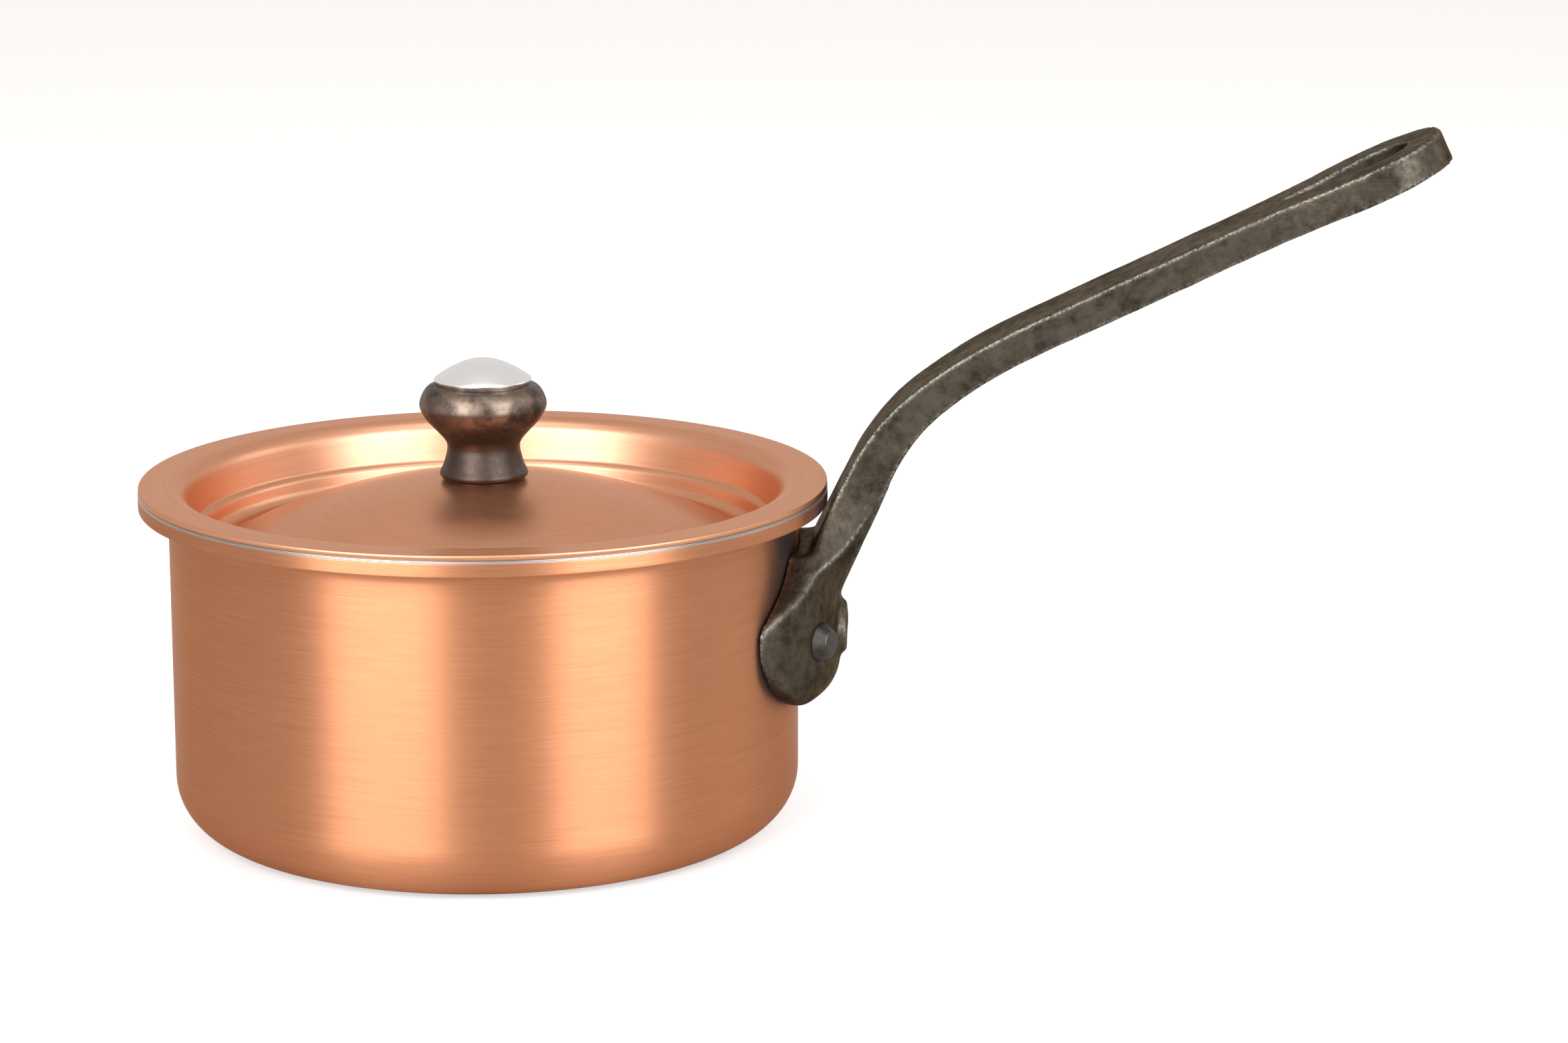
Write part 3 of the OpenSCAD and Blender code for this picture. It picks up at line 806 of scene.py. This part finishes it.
def pillowed(mesh, passes, rivet):
    """Rounds the flange more than the arm, and leaves the seats of the rivets as they are."""
    lo, hi = rivet
    middle = (Vector(lo) + Vector(hi)) / 2
    piece = show("handle_pillow", mesh)
    group = piece.vertex_groups.new(name="flange")
    for vert in mesh.vertices:
        low_down = clamped((FLANGE_TOP - vert.co.z) / FLANGE_FADE)
        beside_rivet = math.hypot(abs(vert.co.y) - abs(middle.y), vert.co.z - middle.z)
        free = clamped((beside_rivet - SEAT_R) / SEAT_FADE)
        if low_down * free > 0:
            group.add([vert.index], low_down * free, "REPLACE")
    soften = piece.modifiers.new("Pillow", "SMOOTH")
    soften.factor = 0.5
    soften.iterations = passes
    soften.vertex_group = group.name
    return plain_mesh(piece)


def weather(mesh, depth, box):
    """Gives a casting its slow unevenness, keeps it in its box, and marks its proud edges as worn."""
    lo, hi = box
    mesh.update()
    normals = [v.normal.copy() for v in mesh.vertices]
    around = [[] for _ in mesh.vertices]
    for edge in mesh.edges:
        a, b = edge.vertices
        around[a].append(b)
        around[b].append(a)
    worn = []
    for vert, normal, near in zip(mesh.vertices, normals, around):
        bends = [(vert.co - mesh.vertices[j].co).normalized().dot(normal) for j in near]
        worn.append(sum(bends) / len(near))
    for _ in range(3):
        worn = [0.5 * w + 0.5 * sum(worn[j] for j in near) / len(near)
                for w, near in zip(worn, around)]
    for vert, normal in zip(mesh.vertices, normals):
        slow = noise.noise(vert.co / (11 * MM)) + 0.5 * noise.noise(vert.co / (4.5 * MM))
        vert.co += normal * (depth * slow)
        vert.co = [min(max(c, a), b) for c, a, b in zip(vert.co, lo, hi)]
    mark = mesh.attributes.new("worn", "FLOAT", "POINT")
    mark.data.foreach_set("value", [clamped((w - PROUD) / PROUD_FADE) for w in worn])
    mesh.update()


class SAUCEPAN_OT_rivets(bpy.types.Operator):
    """Close the two rivets that hold the handle to the pan"""
    bl_idname = "saucepan.rivets"
    bl_label = "Rivets"

    def execute(self, context):
        s, pan = context.scene.saucepan_rivets, context.scene.saucepan_pan
        steel = steel_dull("steel_rivet_dull", s.steel, rough=0.45)
        turn = math.asin(s.apart / s.dome_r)
        axis_x = pan.rim_r - pan.flare + s.dome_t - s.dome_r
        bore = pan.rim_r - pan.flare - pan.wall
        seat = s.dome_r - s.head ** 2 / 8 / s.dome_r - 0.3 * MM
        inner = -axis_x * math.cos(turn) + math.sqrt(bore ** 2 - (axis_x * math.sin(turn)) ** 2)
        lo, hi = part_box("rivet_left")
        z = (lo.z + hi.z) / 2
        shank, close = s.shank / 2, s.shank * 0.85
        soft = 0.5 * MM
        rivet = eased([(0, seat + s.head_h), (s.head_top / 2, seat + s.head_h, soft),
                       (s.head / 2, seat, soft * 0.5), (shank, seat), (shank, inner - 0.2 * MM),
                       (close, inner - 0.5 * MM, soft), (close * 0.6, inner - 2.2 * MM, soft),
                       (0, inner - 2.2 * MM)])
        mould = turned("rivet_mould", rivet, RIVET_SIDES, steel, gap=0.5 * MM)
        seats = bpy.data.meshes.new("rivet_seats")
        seats.from_pydata([(axis_x, 0, z)] * 2, [], [])
        facing = seats.attributes.new("facing", "FLOAT_VECTOR", "POINT")
        facing.data.foreach_set("vector", [math.cos(turn), -math.sin(turn), 0,
                                           math.cos(turn), math.sin(turn), 0])
        pair = grown("handle_rivets", seats, seats_tree(), Rivet=mould, Material=steel)
        bpy.data.objects.remove(mould)
        settle(pair, "pan", "steel_rivet", "rivet_left", "rivet_right")
        return {"FINISHED"}


class SAUCEPAN_OT_stage(bpy.types.Operator):
    """Lay the pale floor, hang the soft lights and set the camera"""
    bl_idname = "saucepan.stage"
    bl_label = "Stage"

    def execute(self, context):
        s = context.scene.saucepan_studio
        w = FLOOR_HALF
        mesh = bpy.data.meshes.new("floor")
        mesh.from_pydata([(-w, -w, 0), (w, -w, 0), (w, w, 0), (-w, w, 0)], [], [(0, 1, 2, 3)])
        floor = show("floor", mesh)
        mesh.materials.append(floor_paint("studio_board", s.floor, s.lift))
        world = bpy.data.worlds.new("studio_air")
        world.use_nodes = True
        air = next(n for n in world.node_tree.nodes if n.type == "BACKGROUND")
        air.inputs["Color"].default_value = (1, 1, 1, 1)
        air.inputs["Strength"].default_value = s.air
        context.scene.world = world
        context.scene.view_settings.view_transform = "Standard"
        camera(context, s)
        # name, degrees round and up, metres away, size in metres, radiance
        for name, turn, rise, away, size, bright in (
                ("box_left", -37, 22, 1.3, (1.0, 1.2), 8.2),
                ("box_right", 41, 22, 1.3, (0.84, 1.2), 8.2),
                ("box_side", 104, 24, 1.3, (0.6, 0.5), 2.0),
                ("box_top", 0, 78, 1.4, (1.2, 0.8), 2.2)):
            softbox(s, name, turn, rise, away, size, bright)
        return {"FINISHED"}


def camera(context, s):
    """Sets the camera out from the pan's middle, then turns it to frame the handle as well."""
    target = Vector((0, 0, s.aim_z))
    back = Vector((math.sin(s.azimuth) * math.cos(s.elevation),
                   -math.cos(s.azimuth) * math.cos(s.elevation), math.sin(s.elevation)))
    forward = -back
    right = Vector((math.cos(s.azimuth), math.sin(s.azimuth), 0))
    up = right.cross(forward)
    sweep = Matrix.Rotation(-s.pan, 3, up)
    forward, right = sweep @ forward, sweep @ right
    nod = Matrix.Rotation(s.tilt, 3, right)
    forward, up = nod @ forward, nod @ up
    lean = Matrix.Rotation(s.roll, 3, forward)
    right, up = lean @ right, lean @ up
    data = bpy.data.cameras.new("camera")
    data.lens = s.focal
    data.sensor_width = 36
    data.clip_start, data.clip_end = 0.05, 60
    eye = bpy.data.objects.new("camera", data)
    turned_to = Matrix((right, up, -forward)).transposed().to_4x4()
    eye.matrix_world = Matrix.Translation(target + back * s.distance) @ turned_to
    context.scene.collection.objects.link(eye)
    context.scene.camera = eye


def softbox(s, name, turn, rise, away, size, bright):
    """A plain soft light, turned to face the pan. turn is from the camera's side, rise is above the
    floor."""
    a, e = math.radians(turn) + s.azimuth, math.radians(rise)
    back = Vector((math.sin(a) * math.cos(e), -math.cos(a) * math.cos(e), math.sin(e)))
    data = bpy.data.lights.new(name, "AREA")
    data.shape = "RECTANGLE"
    data.size, data.size_y = size
    data.energy = bright * math.pi * size[0] * size[1]
    data.color = s.light
    box = bpy.data.objects.new(name, data)
    box.location = Vector((0, 0, s.aim_z)) + back * away
    box.rotation_mode = "QUATERNION"
    box.rotation_quaternion = back.to_track_quat("Z", "Y")
    box.visible_camera = False
    bpy.context.scene.collection.objects.link(box)


class SAUCEPAN_PT_panel(bpy.types.Panel):
    """Lists the pieces of the saucepan"""
    bl_idname = "SAUCEPAN_PT_panel"
    bl_label = "Copper saucepan"
    bl_space_type = "VIEW_3D"
    bl_region_type = "UI"
    bl_category = "Saucepan"

    def draw(self, context):
        for group, operator in PARTS:
            box = self.layout.box()
            box.operator(operator)
            settings = getattr(context.scene, group)
            for name in settings.__annotations__:
                box.prop(settings, name)


PARTS = (("saucepan_pan", "saucepan.pan"), ("saucepan_lid", "saucepan.lid"),
         ("saucepan_knob", "saucepan.knob"), ("saucepan_handle", "saucepan.handle"),
         ("saucepan_rivets", "saucepan.rivets"), ("saucepan_studio", "saucepan.stage"))
GROUPS = (SaucepanPan, SaucepanLid, SaucepanKnob, SaucepanHandle, SaucepanRivets, SaucepanStudio)
OPERATORS = (SAUCEPAN_OT_pan, SAUCEPAN_OT_lid, SAUCEPAN_OT_knob, SAUCEPAN_OT_handle,
             SAUCEPAN_OT_rivets, SAUCEPAN_OT_stage)


def register():
    for item in GROUPS + OPERATORS + (SAUCEPAN_PT_panel,):
        bpy.utils.register_class(item)
    for (group, _), kind in zip(PARTS, GROUPS):
        setattr(bpy.types.Scene, group, bpy.props.PointerProperty(type=kind))


def unregister():
    for group, _ in PARTS:
        delattr(bpy.types.Scene, group)
    for item in reversed(GROUPS + OPERATORS + (SAUCEPAN_PT_panel,)):
        bpy.utils.unregister_class(item)


def main():
    register()
    bpy.ops.saucepan.pan()
    bpy.ops.saucepan.lid()
    bpy.ops.saucepan.knob()
    bpy.ops.saucepan.handle()
    bpy.ops.saucepan.rivets()
    bpy.ops.saucepan.stage()


if __name__ == "__main__":
    main()
